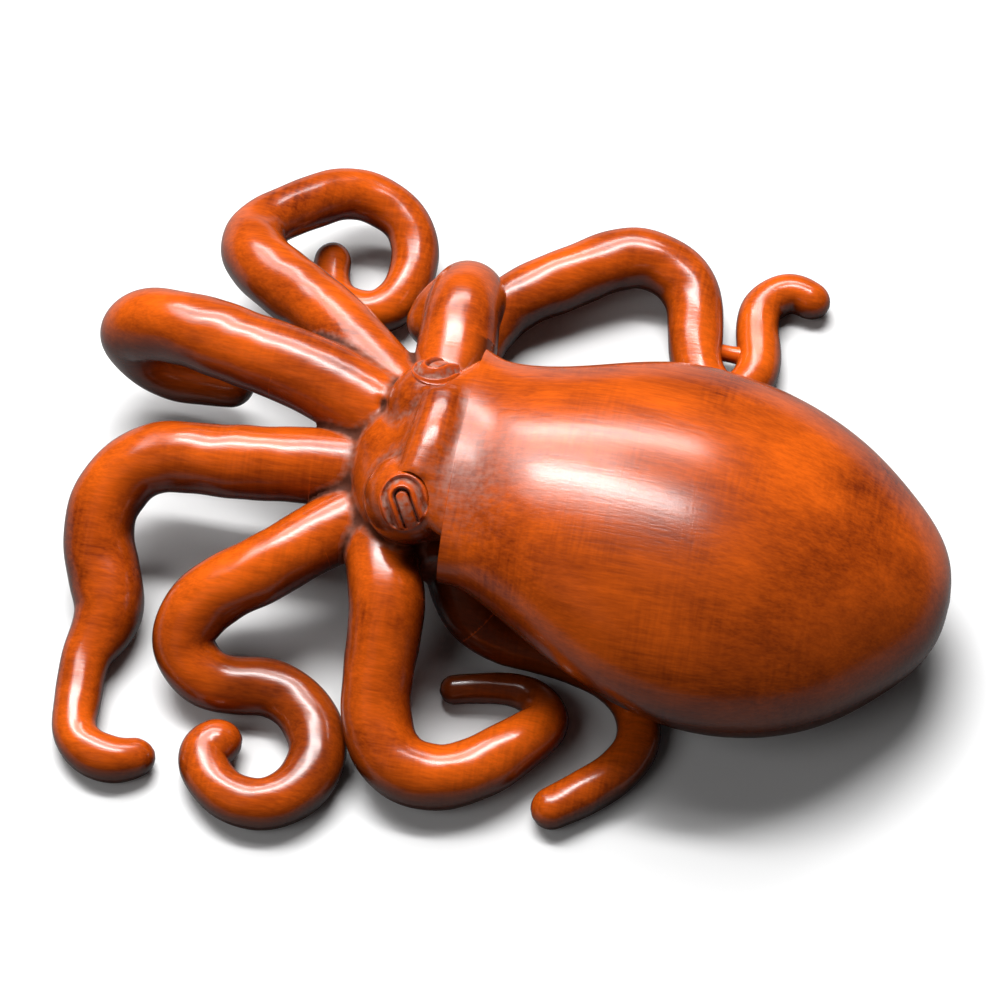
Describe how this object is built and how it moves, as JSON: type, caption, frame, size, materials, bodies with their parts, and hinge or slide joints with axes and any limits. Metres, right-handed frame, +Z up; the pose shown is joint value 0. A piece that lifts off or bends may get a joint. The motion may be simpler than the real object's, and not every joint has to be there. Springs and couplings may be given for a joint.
{
  "type": "octopus figurine",
  "caption": "Small carved wooden octopus ornament lying on its belly, with an egg-shaped body, a low head with let-in eyes and long arms that curl out over the table.",
  "frame": {"origin": "on the floor under the middle of the figurine's bounding box", "axes": "+X from the head to the tail of the mantle, +Y to the octopus's right arms, +Z up"},
  "size_m": [0.0616, 0.0524, 0.0176],
  "materials": {
    "stained_boxwood": "red-brown stain under a satin wax polish",
    "eye_boxwood": "darker stain, polished",
    "peg_wood": "bare wood"
  },
  "bodies": {
    "root": {"mantle": "stained_boxwood", "head": "stained_boxwood", "left_eye": "eye_boxwood", "right_eye": "eye_boxwood", "right_arm_1": "stained_boxwood", "right_arm_2": "stained_boxwood", "right_arm_3": "stained_boxwood", "right_arm_4": "stained_boxwood", "left_arm_1": "stained_boxwood", "left_arm_2": "stained_boxwood", "left_arm_3": "stained_boxwood", "left_arm_4": "stained_boxwood", "arm_pegs": "peg_wood", "neck_pegs": "peg_wood"}
  },
  "joints": []
}
